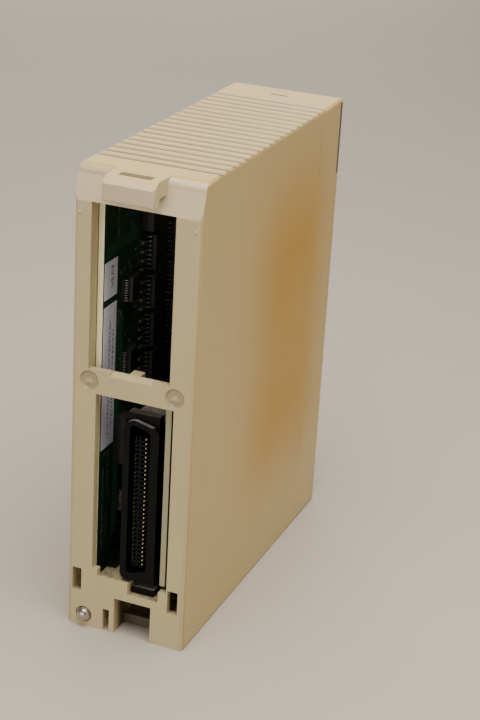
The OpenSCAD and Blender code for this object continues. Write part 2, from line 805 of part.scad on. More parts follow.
// Spring contacts inside the plug pocket of the block
module plug_contacts() {
    color(gold)
        for (p = terminal_places()) {
            side = p[0] < 0 ? -1 : 1;
            z = plug_strip_z(p[1]);
            x0 = side * (plug_x - 0.45);
            x1 = side * plug_x;
            block(min(x0, x1), max(x0, x1), plug_front_y + 0.6, block_back_y - 0.6,
                  z - 0.8, z + 0.8);
        }
}

// Pins of the cover's hinge, fixed in the block's ears
module hinge_pins() {
    reach = 3.4;
    color(steel) {
        translate([hinge_x, hinge_y, block_z0 + 0.4]) cylinder(r = hinge_r, h = reach);
        translate([hinge_x, hinge_y, block_z1 - 0.4 - reach]) cylinder(r = hinge_r, h = reach);
    }
}

// Captive screw that holds the terminal block, at height z
module fixing_screw(z) {
    head_y = front_y + 4.2;
    color(steel) {
        difference() {
            rod_y(0, z, head_y + 0.4, head_y + 2.9, 2.9);
            translate([0, head_y + 0.8, z]) cube([6.4, 1.2, 0.8], center = true);
            translate([0, head_y + 0.8, z]) cube([0.8, 1.2, 3.6], center = true);
        }
        rod_y(0, z, head_y + 2.9 - eps, sleeve_y + 1.2, 1.5);
    }
}

module upper_fixing_screw() {
    fixing_screw(screw_xz[1][1]);
}

module lower_fixing_screw() {
    fixing_screw(screw_xz[0][1]);
}

// Hinged cover over the terminals, with a knuckle at each end and a lip to open it
module terminal_cover() {
    thick = 1.3;
    face_y = front_y + 0.35;
    z0 = block_z0 + 0.4 + ear_t + 0.3;
    z1 = block_z1 - 0.4 - ear_t - 0.3;
    knuckle_h = 5;
    color([0.22, 0.20, 0.19]) {
        difference() {
            union() {
                block(-block_x, hinge_x, face_y, face_y + thick, z0, z1);
                block(-block_x, -block_x + 1, face_y, face_y + 3.2, z0, z1);
                for (z = [z0, z1 - 1]) block(-block_x, hinge_x - 3, face_y, face_y + 2.9, z, z + 1);
                for (z = [z0, z1 - knuckle_h])
                    translate([hinge_x, hinge_y, z]) cylinder(r = 1.6, h = knuckle_h);
            }
            for (z = [z0 - 1, z1 - knuckle_h - 1])
                translate([hinge_x, hinge_y, z]) cylinder(r = hinge_r + 0.05, h = knuckle_h + 2);
            // Finger notch at the free edge
            translate([-block_x - 1, face_y - 0.6, 50]) cube([3, 1.2, 12]);
        }
    }
}

// Blank card for the wiring list, slid in behind the cover's face
module cover_label_card() {
    back_y = front_y + 0.35 + 1.3;
    color([0.93, 0.93, 0.90])
        block(-11.6, 8.6, back_y, back_y + 0.25, 16, 95);
}

main_case();
front_bezel();
indicator_window();
light_guide();
indicator_board();
indicator_lamps();
unit_switch_body();
unit_switch_rotor();
main_board();
board_labels();
logic_chips();
chip_leads();
smoothing_capacitors();
isolation_transformer();
opto_couplers();
crystal_and_resistors();
bus_board();
bus_driver_chips();
bus_connector_housing();
bus_connector_contacts();
board_link_socket();
board_link_plug();
board_link_pins();
front_link_header();
locating_pin();
terminal_board();
terminal_header();
terminal_header_strips();
screw_inserts();
terminal_block();
terminal_plates();
terminal_screws();
plug_contacts();
hinge_pins();
upper_fixing_screw();
lower_fixing_screw();
terminal_cover();
cover_label_card();
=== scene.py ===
"""Looks of the rack-mounted controller module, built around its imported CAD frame."""
import math
import random

import bmesh
import bpy
from mathutils import Matrix, Vector


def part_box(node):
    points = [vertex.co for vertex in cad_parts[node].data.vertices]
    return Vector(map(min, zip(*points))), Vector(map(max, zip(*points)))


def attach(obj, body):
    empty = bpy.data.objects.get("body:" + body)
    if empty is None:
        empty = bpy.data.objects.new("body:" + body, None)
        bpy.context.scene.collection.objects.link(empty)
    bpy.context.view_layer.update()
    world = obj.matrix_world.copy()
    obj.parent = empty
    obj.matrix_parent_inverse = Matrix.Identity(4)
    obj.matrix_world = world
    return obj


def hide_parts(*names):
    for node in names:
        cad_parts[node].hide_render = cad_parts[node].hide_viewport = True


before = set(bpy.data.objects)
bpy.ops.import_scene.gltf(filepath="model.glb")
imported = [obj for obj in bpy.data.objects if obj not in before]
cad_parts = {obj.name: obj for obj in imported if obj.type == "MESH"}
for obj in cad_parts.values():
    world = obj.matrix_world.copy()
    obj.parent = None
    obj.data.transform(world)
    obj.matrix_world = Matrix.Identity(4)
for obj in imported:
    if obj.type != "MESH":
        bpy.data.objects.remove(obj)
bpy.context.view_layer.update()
MM = 0.001
dice = random.Random(7)


def corners(node):
    """Lowest and highest corner of a CAD node, in millimetres."""
    lo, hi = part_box(node)
    return lo / MM, hi / MM


# The planes that everything below is placed from, in millimetres
CASE_DEPTH = 100.5
SIDE, _, TOP = corners("main_case")[1]
REAR = corners("front_bezel")[0].y + CASE_DEPTH
FACE = corners("main_board")[0].x
BUS_FACE = corners("bus_board")[1].x

# Standard pitch of leads and contacts, in millimetres, and the finer one of half that
PITCH = 2.54
FINE_PITCH = PITCH / 2


# ---------------------------------------------------------------- shader building

class Shader:
    """A node material under construction. Its methods add a node and return its output."""

    def __init__(self, name, **constants):
        self.mat = bpy.data.materials.new(name)
        self.mat.use_nodes = True
        self.nodes = self.mat.node_tree.nodes
        self.links = self.mat.node_tree.links
        self.bsdf = self.nodes["Principled BSDF"]
        for socket, value in constants.items():
            self.bsdf.inputs[socket.replace("_", " ")].default_value = value
        self.coords = self.nodes.new("ShaderNodeTexCoord")
        self.place = self.coords.outputs["Object"]

    def feed(self, socket, source):
        """Puts a link or a constant into an input socket."""
        if isinstance(source, bpy.types.NodeSocket):
            self.links.new(source, socket)
        else:
            socket.default_value = source

    def math(self, operation, a, b=0.0):
        """Result of a math operation on links or constants."""
        node = self.nodes.new("ShaderNodeMath")
        node.operation = operation
        self.feed(node.inputs[0], a)
        self.feed(node.inputs[1], b)
        return node.outputs[0]

    def times(self, *values):
        """Product of links or constants."""
        product = values[0]
        for value in values[1:]:
            product = self.math("MULTIPLY", product, value)
        return product

    def span(self, value, low, high, out_low=0.0, out_high=1.0):
        """Smooth step of value from low to high."""
        node = self.nodes.new("ShaderNodeMapRange")
        node.interpolation_type = "SMOOTHSTEP"
        for i, v in enumerate((value, low, high, out_low, out_high)):
            self.feed(node.inputs[i], v)
        return node.outputs[0]

    def band(self, value, low, high, soft):
        """One between low and high, falling to zero over soft on both sides."""
        return self.times(self.span(value, low - soft, low), self.span(value, high + soft, high))

    def mix(self, factor, a, b):
        """Colour a, turning into b as the factor goes from zero to one."""
        node = self.nodes.new("ShaderNodeMix")
        node.data_type = "RGBA"
        # Inputs 6 and 7 and output 2 are the ones for colours
        self.feed(node.inputs["Factor"], factor)
        self.feed(node.inputs[6], rgba(a))
        self.feed(node.inputs[7], rgba(b))
        return node.outputs[2]

    def scaled(self, x, y, z):
        """The object coordinates, scaled axis by axis."""
        node = self.nodes.new("ShaderNodeMapping")
        self.feed(node.inputs["Vector"], self.place)
        node.inputs["Scale"].default_value = (x, y, z)
        return node.outputs[0]

    def noise(self, scale, detail=3.0, roughness=0.5, vector=None):
        """Cloudy noise from zero to one."""
        node = self.nodes.new("ShaderNodeTexNoise")
        self.feed(node.inputs["Vector"], vector or self.place)
        node.inputs["Scale"].default_value = scale
        node.inputs["Detail"].default_value = detail
        node.inputs["Roughness"].default_value = roughness
        return node.outputs[0]

    def cells(self, scale):
        """Distance to the middle of a random cell, and the cell's own colour."""
        node = self.nodes.new("ShaderNodeTexVoronoi")
        self.feed(node.inputs["Vector"], self.place)
        node.inputs["Scale"].default_value = scale
        return node.outputs

    def axes(self, vector=None):
        """The three numbers of a vector; by default the place in metres."""
        node = self.nodes.new("ShaderNodeSeparateXYZ")
        self.feed(node.inputs[0], vector or self.place)
        return node.outputs

    def facing(self, axis):
        """How squarely the surface faces along an axis, as a signed number."""
        return self.axes(self.coords.outputs["Normal"])["XYZ".index(axis)]

    def size(self, value):
        """A number without its sign."""
        return self.math("ABSOLUTE", value)

    def colour(self, source):
        """Sets the base colour."""
        self.feed(self.bsdf.inputs["Base Color"], rgba(source))

    def rough(self, source):
        """Sets the roughness."""
        self.feed(self.bsdf.inputs["Roughness"], source)

    def bump(self, height, strength, depth):
        """Fine relief of a depth in metres."""
        node = self.nodes.new("ShaderNodeBump")
        node.inputs["Strength"].default_value = strength
        node.inputs["Distance"].default_value = depth
        self.feed(node.inputs["Height"], height)
        self.feed(self.bsdf.inputs["Normal"], node.outputs[0])


def rgba(value):
    """A colour of three numbers with its alpha added; a link stays as it is."""
    if isinstance(value, bpy.types.NodeSocket) or len(value) == 4:
        return value
    return (*value, 1.0)


# ---------------------------------------------------------------- materials

def yellowed_with_highlight(s, tone, cloudy):
    """Old yellowing: the outer skin of both sides, an amber patch on the -X side, and the roof; paler where
    the rear wall leans in, with a painted highlight there.
    """
    x, y, z = s.axes()
    side, rear, top = SIDE * MM, REAR * MM, TOP * MM
    outside = s.span(s.size(x), side - 0.0009, side - 0.0001)
    flank = s.times(outside, s.span(s.size(s.facing("X")), 0.5, 0.95))
    tone = s.mix(flank, tone, s.mix(cloudy, (0.452, 0.335, 0.136), (0.492, 0.372, 0.158)))
    # The amber patch fades towards the rear, the floor and the roof, and more sharply in front
    amber = s.times(
        flank, s.span(x, 0.001, -0.001), s.span(y, rear - 0.018, rear - 0.063),
        s.span(y, rear - 0.098, rear - 0.079, 0.25, 1.0),
        s.span(z, 0.008, 0.046), s.span(z, top + 0.008, top - 0.038),
        s.span(s.noise(22, 2), 0.2, 0.75, 0.85, 1.0))
    tone = s.mix(amber, tone, (0.415, 0.225, 0.004))
    roof = s.times(s.span(s.facing("Z"), 0.15, 0.75), s.span(z, top - 0.004, top - 0.0025))
    tone = s.mix(roof, tone, s.mix(cloudy, (0.495, 0.350, 0.105), (0.54, 0.383, 0.122)))
    # The rear wall is paler where it leans in, above its crease, and painted brighter there as a painted
    # highlight where it tilts up to the light
    pale_lit_lean = s.times(s.span(s.facing("Y"), 0.2, 0.75), s.span(z, top - 0.0095, top - 0.0085))
    return s.mix(pale_lit_lean, tone, s.mix(cloudy, (0.54, 0.45, 0.295), (0.60, 0.50, 0.335)))


def soiled_and_shaded(s, tone):
    """Dark specks and streaks of grime, and dirt with painted shade on the low ledges, in the roof grooves
    and in the notch.
    """
    x, y, z = s.axes()
    rear, top = REAR * MM, TOP * MM
    speck = s.times(s.span(s.cells(420)[0], 0.10, 0.05), s.span(s.noise(160, 2), 0.64, 0.70))
    tone = s.mix(speck, tone, (0.16, 0.12, 0.07))
    grime = s.span(s.noise(1, 5, 0.65, s.scaled(90, 90, 30)), 0.55, 0.85, 0.0, 0.2)
    tone = s.mix(grime, tone, (0.33, 0.26, 0.16))
    # Ledges inside the case: dirt and painted shade, darker on the low surfaces that little light reaches
    ledge = s.times(s.span(s.facing("Z"), 0.3, 0.8), s.band(z, 0.0026, 0.0175, 0.0006),
                    s.span(y, rear - 0.0004, rear - 0.0012),
                    s.span(s.noise(420, 5, 0.7), 0.36, 0.62, 0.25, 0.85))
    tone = s.mix(ledge, tone, (0.13, 0.115, 0.085))
    # Roof grooves: dirt and painted shade on their walls and floors, between the lit ridges
    groove = s.times(s.band(z, top - 0.0042, top - 0.0006, 0.0003),
                     s.span(y, rear - 0.0098, rear - 0.0102),
                     s.span(s.size(s.facing("X")), 0.6, 0.3), 0.8)
    tone = s.mix(groove, tone, (0.21, 0.155, 0.085))
    # Notch under its ceiling: dirt and painted shade of the dark cavity
    notch = s.times(s.band(x, -0.0078, 0.0036, 0.0002), s.span(z, 0.0112, 0.0108),
                    s.span(y, rear - 0.0015, rear - 0.0045))
    return s.mix(notch, tone, (0.10, 0.085, 0.06))


def ring_grime_and_shade(s, tone):
    """Grime and painted shade in the two round marks of the rear wall, darkest along their rims."""
    x, y, z = s.axes()
    rear = REAR * MM
    mark_r, mark_z, mark_x, middle_x = 0.0027, 0.07315, 0.0121, 0.0001
    across = s.math("SUBTRACT", s.size(s.math("SUBTRACT", x, middle_x)), mark_x)
    along = s.math("SUBTRACT", z, mark_z)
    out = s.math("SQRT", s.math("ADD", s.times(across, across), s.times(along, along)))
    # The sunk disc and its rim band are painted darker: grime and painted shade in the recess
    sunk = s.span(y, rear - 0.0002, rear - 0.0005, 0.0, 0.4)
    rim = s.times(s.band(out, 0.00212, 0.00268, 0.00012), 0.55)
    mark = s.times(s.span(out, mark_r + 0.0001, mark_r), s.span(y, rear - 0.001, rear - 0.0009),
                   s.math("MAXIMUM", sunk, rim))
    return s.mix(mark, tone, (0.25, 0.20, 0.13))


def ivory_plastic():
    """Textured ABS with old yellowing and dirt from many years in a rack, painted shade in its hollows, and
    a painted highlight where the rear wall leans in.
    """
    s = Shader("ivory_plastic", Specular_IOR_Level=0.5)
    cloudy = s.noise(38, 4, 0.6)
    fresh = s.mix(cloudy, (0.49, 0.405, 0.228), (0.54, 0.45, 0.262))
    s.colour(ring_grime_and_shade(s, soiled_and_shaded(s, yellowed_with_highlight(s, fresh, cloudy))))
    s.rough(s.span(cloudy, 0.2, 0.8, 0.34, 0.46))
    s.bump(s.math("ADD", s.noise(2600, 2), s.times(s.noise(900, 2), 0.6)), 0.25, 0.00006)
    return s.mat


def board_laminate(name, axis, painted_edge_light=1.0):
    """Solder mask over copper on the two faces, bare glass laminate on the edges.

    axis is what the faces face along, and painted_edge_light is how bright the bare edges are painted; below
    one it paints shade on them.
    """
    s = Shader(name, Specular_IOR_Level=0.5)
    x, y, z = s.axes()
    half_pitch = FINE_PITCH * MM / 2
    face = s.span(s.size(s.facing(axis)), 0.5, 0.6)
    across = y if axis == "X" else x
    tracks_z = s.span(s.math("PINGPONG", z, half_pitch), 0.00028, 0.00034)
    tracks_y = s.span(s.math("PINGPONG", across, half_pitch), 0.00028, 0.00034)
    pick = s.axes(s.cells(120)[1])
    kept = s.math("MAXIMUM", s.times(tracks_z, s.span(pick[0], 0.5, 0.55)),
                  s.times(tracks_y, s.span(pick[1], 0.6, 0.65)))
    mask = s.mix(s.noise(60, 3), (0.0022, 0.021, 0.013), (0.0035, 0.029, 0.017))
    mask = s.mix(s.times(kept, 0.5), mask, (0.007, 0.060, 0.030))
    weave = s.noise(1, 3, 0.6, s.scaled(2500, 300, 700))
    nibble = s.span(s.noise(1, 3, 0.6, s.scaled(1500, 400, 1500)), 0.27, 0.40)
    # Below one, the bare edges are painted darker: painted shade
    pale, deep = ([v * painted_edge_light for v in tint] for tint in ((1.0, 1.0, 0.72), (0.93, 0.87, 0.48)))
    bare = s.mix(nibble, [v * 0.62 for v in deep], s.mix(weave, deep, pale))
    s.colour(s.mix(face, bare, mask))
    s.rough(s.span(face, 0.0, 1.0, 0.75, 0.34))
    s.bump(s.times(kept, face), 0.3, 0.00003)
    return s.mat


def moulded(name, dark, light, dust=0.0, rough=(0.38, 0.55), grain=0.15):
    """Moulded plastic with fine grain, slight mottling, and dust on what faces up."""
    s = Shader(name, Specular_IOR_Level=0.45)
    tone = s.mix(s.noise(180, 3), dark, light)
    if dust:
        flour = s.span(s.noise(700, 4, 0.7), 0.3, 0.7, 0.5, 1.0)
        settled = s.times(s.span(s.facing("Z"), 0.25, 0.95, 0.0, dust), flour)
        film = s.span(s.noise(240, 5, 0.7), 0.52, 0.8, 0.0, dust * 0.2)
        tone = s.mix(s.math("MAXIMUM", settled, film), tone, (0.23, 0.19, 0.155))
    s.colour(tone)
    s.rough(s.span(s.noise(320, 3), 0.25, 0.75, *rough))
    s.bump(s.noise(3200, 2), grain, 0.00004)
    return s.mat


def connector_plastic():
    """Black glass-filled plastic: dust on its flange and rim, free of dust and dark inside the shroud, with
    painted highlights on its edges.
    """
    s = Shader("connector_plastic", Specular_IOR_Level=0.12)
    z = s.axes()[2]
    tone = s.mix(s.noise(180, 3), (0.0015, 0.0018, 0.0025), (0.003, 0.0033, 0.0042))
    up = s.span(s.facing("Z"), 0.25, 0.95)
    # Dust lies above and below the shroud, not inside it
    ends = s.math("MAXIMUM", s.span(z, 0.0628, 0.0632), s.span(z, 0.0166, 0.0160))
    flour = s.span(s.noise(650, 4, 0.7), 0.25, 0.7, 0.55, 1.0)
    tone = s.mix(s.times(up, ends, flour, 0.85), tone, (0.26, 0.24, 0.23))
    film = s.times(s.span(s.facing("Y"), 0.6, 0.95), s.span(s.noise(260, 5, 0.7), 0.45, 0.80), 0.012)
    tone = s.mix(film, tone, (0.16, 0.145, 0.12))
    # Edges painted pale, a painted highlight: only they face partly along Y
    edge = s.band(s.facing("Y"), 0.3, 0.92, 0.05)
    tone = s.mix(s.times(edge, 0.55), tone, (0.11, 0.11, 0.115))
    s.colour(tone)
    s.rough(s.span(s.noise(320, 3), 0.25, 0.75, 0.22, 0.36))
    s.bump(s.noise(3200, 2), 0.12, 0.00004)
    return s.mat


def metal(name, tone, worn, rough=(0.18, 0.4), brush=(400, 400, 400), dents=0.12):
    """Plated or turned metal with tarnish and fine scratches."""
    s = Shader(name, Metallic=1.0)
    stain = s.span(s.noise(500, 5, 0.65), 0.42, 0.75)
    s.colour(s.mix(stain, tone, worn))
    scratch = s.noise(6, 4, 0.7, s.scaled(*brush))
    s.rough(s.span(scratch, 0.3, 0.7, *rough))
    s.bump(scratch, dents, 0.00002)
    return s.mat


def smoked(name, tint, clear=0.6, rough=0.08):
    """Smoked plastic, partly see-through, with faint handling marks."""
    s = Shader(name, IOR=1.49, Transmission_Weight=clear, Specular_IOR_Level=0.5)
    s.colour(s.mix(s.noise(120, 3), tint, tuple(v * 1.25 for v in tint)))
    s.rough(s.span(s.noise(260, 5, 0.7), 0.35, 0.8, rough, rough + 0.14))
    s.bump(s.noise(900, 3), 0.04, 0.00003)
    return s.mat


def sticker():
    """White sticker. Rows of unreadable dashes stand in for its printing."""
    s = Shader("sticker", Roughness=0.55, Specular_IOR_Level=0.35)
    _, y, z = s.axes()
    tone = s.mix(s.noise(300, 3), (0.70, 0.70, 0.90), (0.78, 0.78, 0.98))
    rear = REAR * MM
    strokes = s.span(s.noise(1, 1, 0.5, s.scaled(1, 1500, 2100)), 0.47, 0.52)
    gaps = s.span(s.math("PINGPONG", z, 0.0006), 0.00010, 0.00016)
    big_gaps = s.span(s.math("PINGPONG", z, 0.0009), 0.00012, 0.0002)

    def row(deep, shallow, low, high, breaks):
        """One upright row of dashes between two depths and two heights, in metres."""
        return s.times(s.band(y, rear - deep, rear - shallow, 0.0001), s.band(z, low, high, 0.0001), breaks)

    upper = row(0.0101, 0.0086, 0.0955, 0.1018, big_gaps)
    row_a = row(0.0090, 0.0081, 0.0535, 0.0882, gaps)
    row_b = row(0.0109, 0.0101, 0.0550, 0.0842, gaps)
    words = s.span(s.noise(1, 0, 0.5, s.scaled(1, 1, 260)), 0.36, 0.40)
    rows = s.math("MAXIMUM", upper, s.times(s.math("MAXIMUM", row_a, row_b), words))
    tone = s.mix(s.times(rows, strokes, 0.85), tone, (0.035, 0.03, 0.045))
    s.colour(tone)
    s.bump(s.noise(1500, 3), 0.1, 0.00002)
    return s.mat


def card():
    """Blank wiring card with thin grey rules between its fields."""
    s = Shader("wiring_card", Roughness=0.7, Specular_IOR_Level=0.3)
    x, _, z = s.axes()
    tone = s.mix(s.noise(300, 3), (0.62, 0.61, 0.57), (0.70, 0.69, 0.65))
    rule = s.span(s.math("PINGPONG", z, 0.0043), 0.00018, 0.00010)
    middle = s.band(x, -0.0016, -0.0014, 0.00004)
    tone = s.mix(s.times(s.math("MAXIMUM", rule, middle), 0.7), tone, (0.18, 0.18, 0.20))
    s.colour(tone)
    s.bump(s.noise(1500, 3), 0.1, 0.00002)
    return s.mat


def resin(name, tint):
    """Clear cast resin."""
    s = Shader(name, IOR=1.5, Transmission_Weight=0.7, Roughness=0.12)
    s.colour(s.mix(s.noise(500, 2), tint, tuple(v * 0.85 for v in tint)))
    s.bump(s.noise(1200, 2), 0.05, 0.00002)
    return s.mat


IVORY = ivory_plastic()
BOARD = board_laminate("board_laminate", "X")
# The bus board's bare edges are painted darker: painted shade, as the rear wall beside the window keeps the
# light off them
BUS_BOARD = board_laminate("bus_board_laminate", "X", painted_edge_light=0.42)
CROSS_BOARD = board_laminate("cross_board_laminate", "Y")
CONNECTOR = connector_plastic()
BLACK = moulded("black_plastic", (0.009, 0.009, 0.010), (0.015, 0.014, 0.014), dust=0.3)
BLOCK = moulded("block_plastic", (0.028, 0.028, 0.030), (0.040, 0.040, 0.042), dust=0.15)
CHIP = moulded("chip_resin", (0.007, 0.007, 0.008), (0.013, 0.013, 0.014), dust=0.12)
DIMPLE = moulded("chip_dimple", (0.020, 0.020, 0.021), (0.028, 0.028, 0.029))
CREAM = moulded("coupler_resin", (0.62, 0.57, 0.46), (0.70, 0.65, 0.54))
SLEEVE = moulded("capacitor_sleeve", (0.008, 0.014, 0.060), (0.012, 0.020, 0.08),
                 rough=(0.2, 0.35), grain=0.05)
CORE = moulded("transformer_core", (0.026, 0.024, 0.022), (0.050, 0.046, 0.042), grain=0.4)
TAPE = moulded("winding_tape", (0.42, 0.27, 0.05), (0.50, 0.33, 0.08), rough=(0.25, 0.4))
CERAMIC = moulded("ceramic_parts", (0.020, 0.019, 0.018), (0.035, 0.033, 0.031))
BLUE = moulded("switch_blue", (0.010, 0.028, 0.13), (0.016, 0.040, 0.16))
WHITE = moulded("switch_white", (0.62, 0.62, 0.58), (0.70, 0.70, 0.66))
INK = moulded("board_print", (0.10, 0.13, 0.11), (0.17, 0.20, 0.17), grain=0.05)
TRACK = moulded("masked_track", (0.010, 0.075, 0.042), (0.016, 0.095, 0.055),
                rough=(0.25, 0.4), grain=0.05)
CRUMB = moulded("crumb_dirt", (0.06, 0.05, 0.04), (0.24, 0.20, 0.15), rough=(0.7, 0.9))
STEEL = metal("plated_steel", (0.62, 0.60, 0.57), (0.42, 0.39, 0.35))
PIN_STEEL = metal("pin_steel", (0.47, 0.41, 0.38), (0.30, 0.25, 0.22), rough=(0.22, 0.36), dents=0.05)
GOLD = metal("contact_gold", (0.90, 0.76, 0.48), (0.74, 0.58, 0.34), rough=(0.25, 0.45))
BRASS = metal("insert_brass", (0.70, 0.48, 0.21), (0.48, 0.34, 0.16))
TIN = metal("tinned_lead", (0.26, 0.26, 0.25), (0.15, 0.15, 0.15), rough=(0.35, 0.55))
SOLDER = metal("dull_solder", (0.11, 0.11, 0.105), (0.06, 0.06, 0.06), rough=(0.42, 0.6))
ALUMINIUM = metal("can_aluminium", (0.72, 0.72, 0.72), (0.58, 0.58, 0.58))
WINDOW = smoked("smoked_window", (0.035, 0.016, 0.013), clear=0.35)
COVER = smoked("smoked_cover", (0.070, 0.052, 0.042), clear=0.55, rough=0.16)
GUIDE = resin("clear_guide", (0.82, 0.85, 0.85))
LAMP = resin("lamp_resin", (0.55, 0.05, 0.03))
STICKER = sticker()
CARD = card()


# ---------------------------------------------------------------- CAD nodes that stay

NODE_LOOK = {
    "main_case": IVORY, "front_bezel": IVORY, "indicator_window": WINDOW,
    "light_guide": GUIDE, "indicator_board": CROSS_BOARD, "indicator_lamps": LAMP,
    "unit_switch_body": BLUE, "unit_switch_rotor": WHITE, "main_board": BOARD,
    "board_labels": STICKER, "logic_chips": CHIP, "chip_leads": TIN,
    "smoothing_capacitors": SLEEVE, "isolation_transformer": CORE, "opto_couplers": CREAM,
    "crystal_and_resistors": CERAMIC, "bus_board": BUS_BOARD, "bus_driver_chips": CHIP,
    "bus_connector_housing": CONNECTOR, "bus_connector_contacts": GOLD,
    "board_link_socket": BLACK, "board_link_plug": BLACK, "board_link_pins": GOLD,
    "front_link_header": BLACK, "locating_pin": PIN_STEEL, "terminal_board": CROSS_BOARD,
    "terminal_header": BLACK, "terminal_header_strips": GOLD, "screw_inserts": BRASS,
    "terminal_block": BLOCK, "terminal_plates": STEEL, "terminal_screws": STEEL,
    "plug_contacts": GOLD, "hinge_pins": STEEL, "upper_fixing_screw": STEEL,
    "lower_fixing_screw": STEEL, "terminal_cover": COVER, "cover_label_card": CARD,
}

# Width in millimetres of the rounding that moulding or stamping leaves on a node's edges
EDGE_ROUNDING = {
    "main_case": 0.22, "front_bezel": 0.16, "indicator_window": 0.16, "terminal_cover": 0.2,
    "terminal_block": 0.15, "bus_connector_housing": 0.16, "unit_switch_body": 0.2,
    "unit_switch_rotor": 0.12, "main_board": 0.06, "bus_board": 0.06, "terminal_board": 0.06,
    "indicator_board": 0.06, "light_guide": 0.12, "front_link_header": 0.2,
    "terminal_header": 0.3, "upper_fixing_screw": 0.15, "lower_fixing_screw": 0.15,
    "terminal_plates": 0.2, "locating_pin": 0.1,
}


def dress(node, look, rounding):
    """Gives a carried-over CAD node its material and its softened edges."""
    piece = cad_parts[node]
    piece.data.materials.clear()
    piece.data.materials.append(look)
    weld = piece.modifiers.new("weld", "WELD")
    weld.merge_threshold = 0.000002
    if rounding:
        soft = piece.modifiers.new("edges", "BEVEL")
        soft.width = rounding * MM
        soft.segments = 2
        soft.limit_method = "ANGLE"
        soft.angle_limit = math.radians(50)


for node, look in NODE_LOOK.items():
    dress(node, look, EDGE_ROUNDING.get(node, 0))


# ---------------------------------------------------------------- new pieces

class Piece:
    """One new piece, gathered in millimetres from simple closed forms with soft edges."""

    def __init__(self, name, *looks):
        self.name = name
        self.looks = looks
        self.points, self.faces, self.tags, self.smooth = [], [], [], []

    def add(self, points, faces, look, smooth=False):
        """Takes in one form. Its faces count from its own first point."""
        base = len(self.points)
        self.points += [tuple(p) for p in points]
        self.faces += [[base + i for i in face] for face in faces]
        self.tags += [self.looks.index(look)] * len(faces)
        self.smooth += [smooth] * len(faces)

    def box(self, lo, hi, look, chamfer=0.0):
        """Box with chamfered edges."""
        lo, hi = Vector(lo), Vector(hi)
        mid, half = (lo + hi) / 2, (hi - lo) / 2
        cut = min(chamfer, *(h * 0.45 for h in half))
        if cut <= 0:
            points = [mid + Vector((sx * half.x, sy * half.y, sz * half.z))
                      for sx in (-1, 1) for sy in (-1, 1) for sz in (-1, 1)]
        else:
            points = []
            for sx in (-1, 1):
                for sy in (-1, 1):
                    for sz in (-1, 1):
                        sign = Vector((sx, sy, sz))
                        for flat in range(3):
                            reach = half - Vector((cut, cut, cut))
                            reach[flat] = half[flat]
                            points.append(mid + Vector([sign[i] * reach[i] for i in range(3)]))
        self.hull(points, look)

    def hull(self, points, look, smooth=False):
        """Convex form around points."""
        bm = bmesh.new()
        for p in points:
            bm.verts.new(p)
        bmesh.ops.convex_hull(bm, input=bm.verts)
        bmesh.ops.dissolve_limit(bm, angle_limit=0.01, verts=bm.verts, edges=bm.edges)
        bm.verts.index_update()
        self.add([v.co for v in bm.verts], [[v.index for v in f.verts] for f in bm.faces], look, smooth)
        bm.free()

    def lathe(self, origin, axis, profile, look, sides=24, smooth=True):
        """Turned form: profile lists (distance along the axis, radius), both ends closed."""
        axis = Vector(axis).normalized()
        u = axis.orthogonal().normalized()
        v = axis.cross(u)
        points = []
        for along, radius in profile:
            for k in range(sides):
                a = 2 * math.pi * k / sides
                spot = Vector(origin) + axis * along + (u * math.cos(a) + v * math.sin(a)) * radius
                points.append(spot)
        self.add(points, ring_faces(len(profile), sides), look, smooth)
        last = (len(profile) - 1) * sides
        for start, order in ((0, -1), (last, 1)):
            loop = list(range(start, start + sides))[::order]
            self.add([points[i] for i in loop], [list(range(sides))], look)

    def ribbon(self, path, width, thick, side, look):
        """Bent flat strip: path lists its middle points, side is the direction of its width."""
        path = [Vector(p) for p in path]
        side = Vector(side).normalized()
        points = []
        for i, p in enumerate(path):
            ahead = path[min(i + 1, len(path) - 1)] - path[max(i - 1, 0)]
            rise = side.cross(ahead).normalized() * (thick / 2)
            for s, r in ((-1, -1), (1, -1), (1, 1), (-1, 1)):
                points.append(p + side * (s * width / 2) + rise * r)
        ends = [[3, 2, 1, 0], [len(points) - 4 + k for k in range(4)]]
        self.add(points, ring_faces(len(path), 4) + ends, look)

    def done(self, body, slot, *replaced):
        """Makes the object, rides it on a body, and hides the CAD nodes that it stands for."""
        mesh = bpy.data.meshes.new(self.name)
        mesh.from_pydata([tuple(c * MM for c in p) for p in self.points], [], self.faces)
        for look in self.looks:
            mesh.materials.append(look)
        mesh.polygons.foreach_set("material_index", self.tags)
        mesh.polygons.foreach_set("use_smooth", self.smooth)
        mesh.update()
        bm = bmesh.new()
        bm.from_mesh(mesh)
        bmesh.ops.remove_doubles(bm, verts=bm.verts, dist=0.0000004)
        bmesh.ops.recalc_face_normals(bm, faces=bm.faces)
        bm.to_mesh(mesh)
        bm.free()
        piece = bpy.data.objects.new(self.name, mesh)
        bpy.context.scene.collection.objects.link(piece)
        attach(piece, body)
        if replaced:
            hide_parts(*replaced)
        return piece


def ring_faces(rings, sides):
    """Faces that join neighbouring rings of points."""
    faces = []
    for ring in range(rings - 1):
        for k in range(sides):
            a, b = ring * sides + k, ring * sides + (k + 1) % sides
            faces.append([a, b, b + sides, a + sides])
    return faces


def solids(node):
    """Boxes, in millimetres, of the separate solids of a CAD node, in order of Y, then Z, then X."""
    bm = bmesh.new()
    bm.from_mesh(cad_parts[node].data)
    bmesh.ops.remove_doubles(bm, verts=bm.verts, dist=0.000002)
    seen, found = set(), []
    for start in bm.verts:
        if start in seen:
            continue
        island, queue = [], [start]
        seen.add(start)
        while queue:
            v = queue.pop()
            island.append(v.co.copy())
            for edge in v.link_edges:
                other = edge.other_vert(v)
                if other not in seen:
                    seen.add(other)
                    queue.append(other)
        lo = Vector([min(c[i] for c in island) for i in range(3)]) / MM
        hi = Vector([max(c[i] for c in island) for i in range(3)]) / MM
        found.append((lo, hi))
    bm.free()
    return sorted(found, key=lambda b: (round(b[0].y, 2), round(b[0].z, 2), round(b[0].x, 2)))


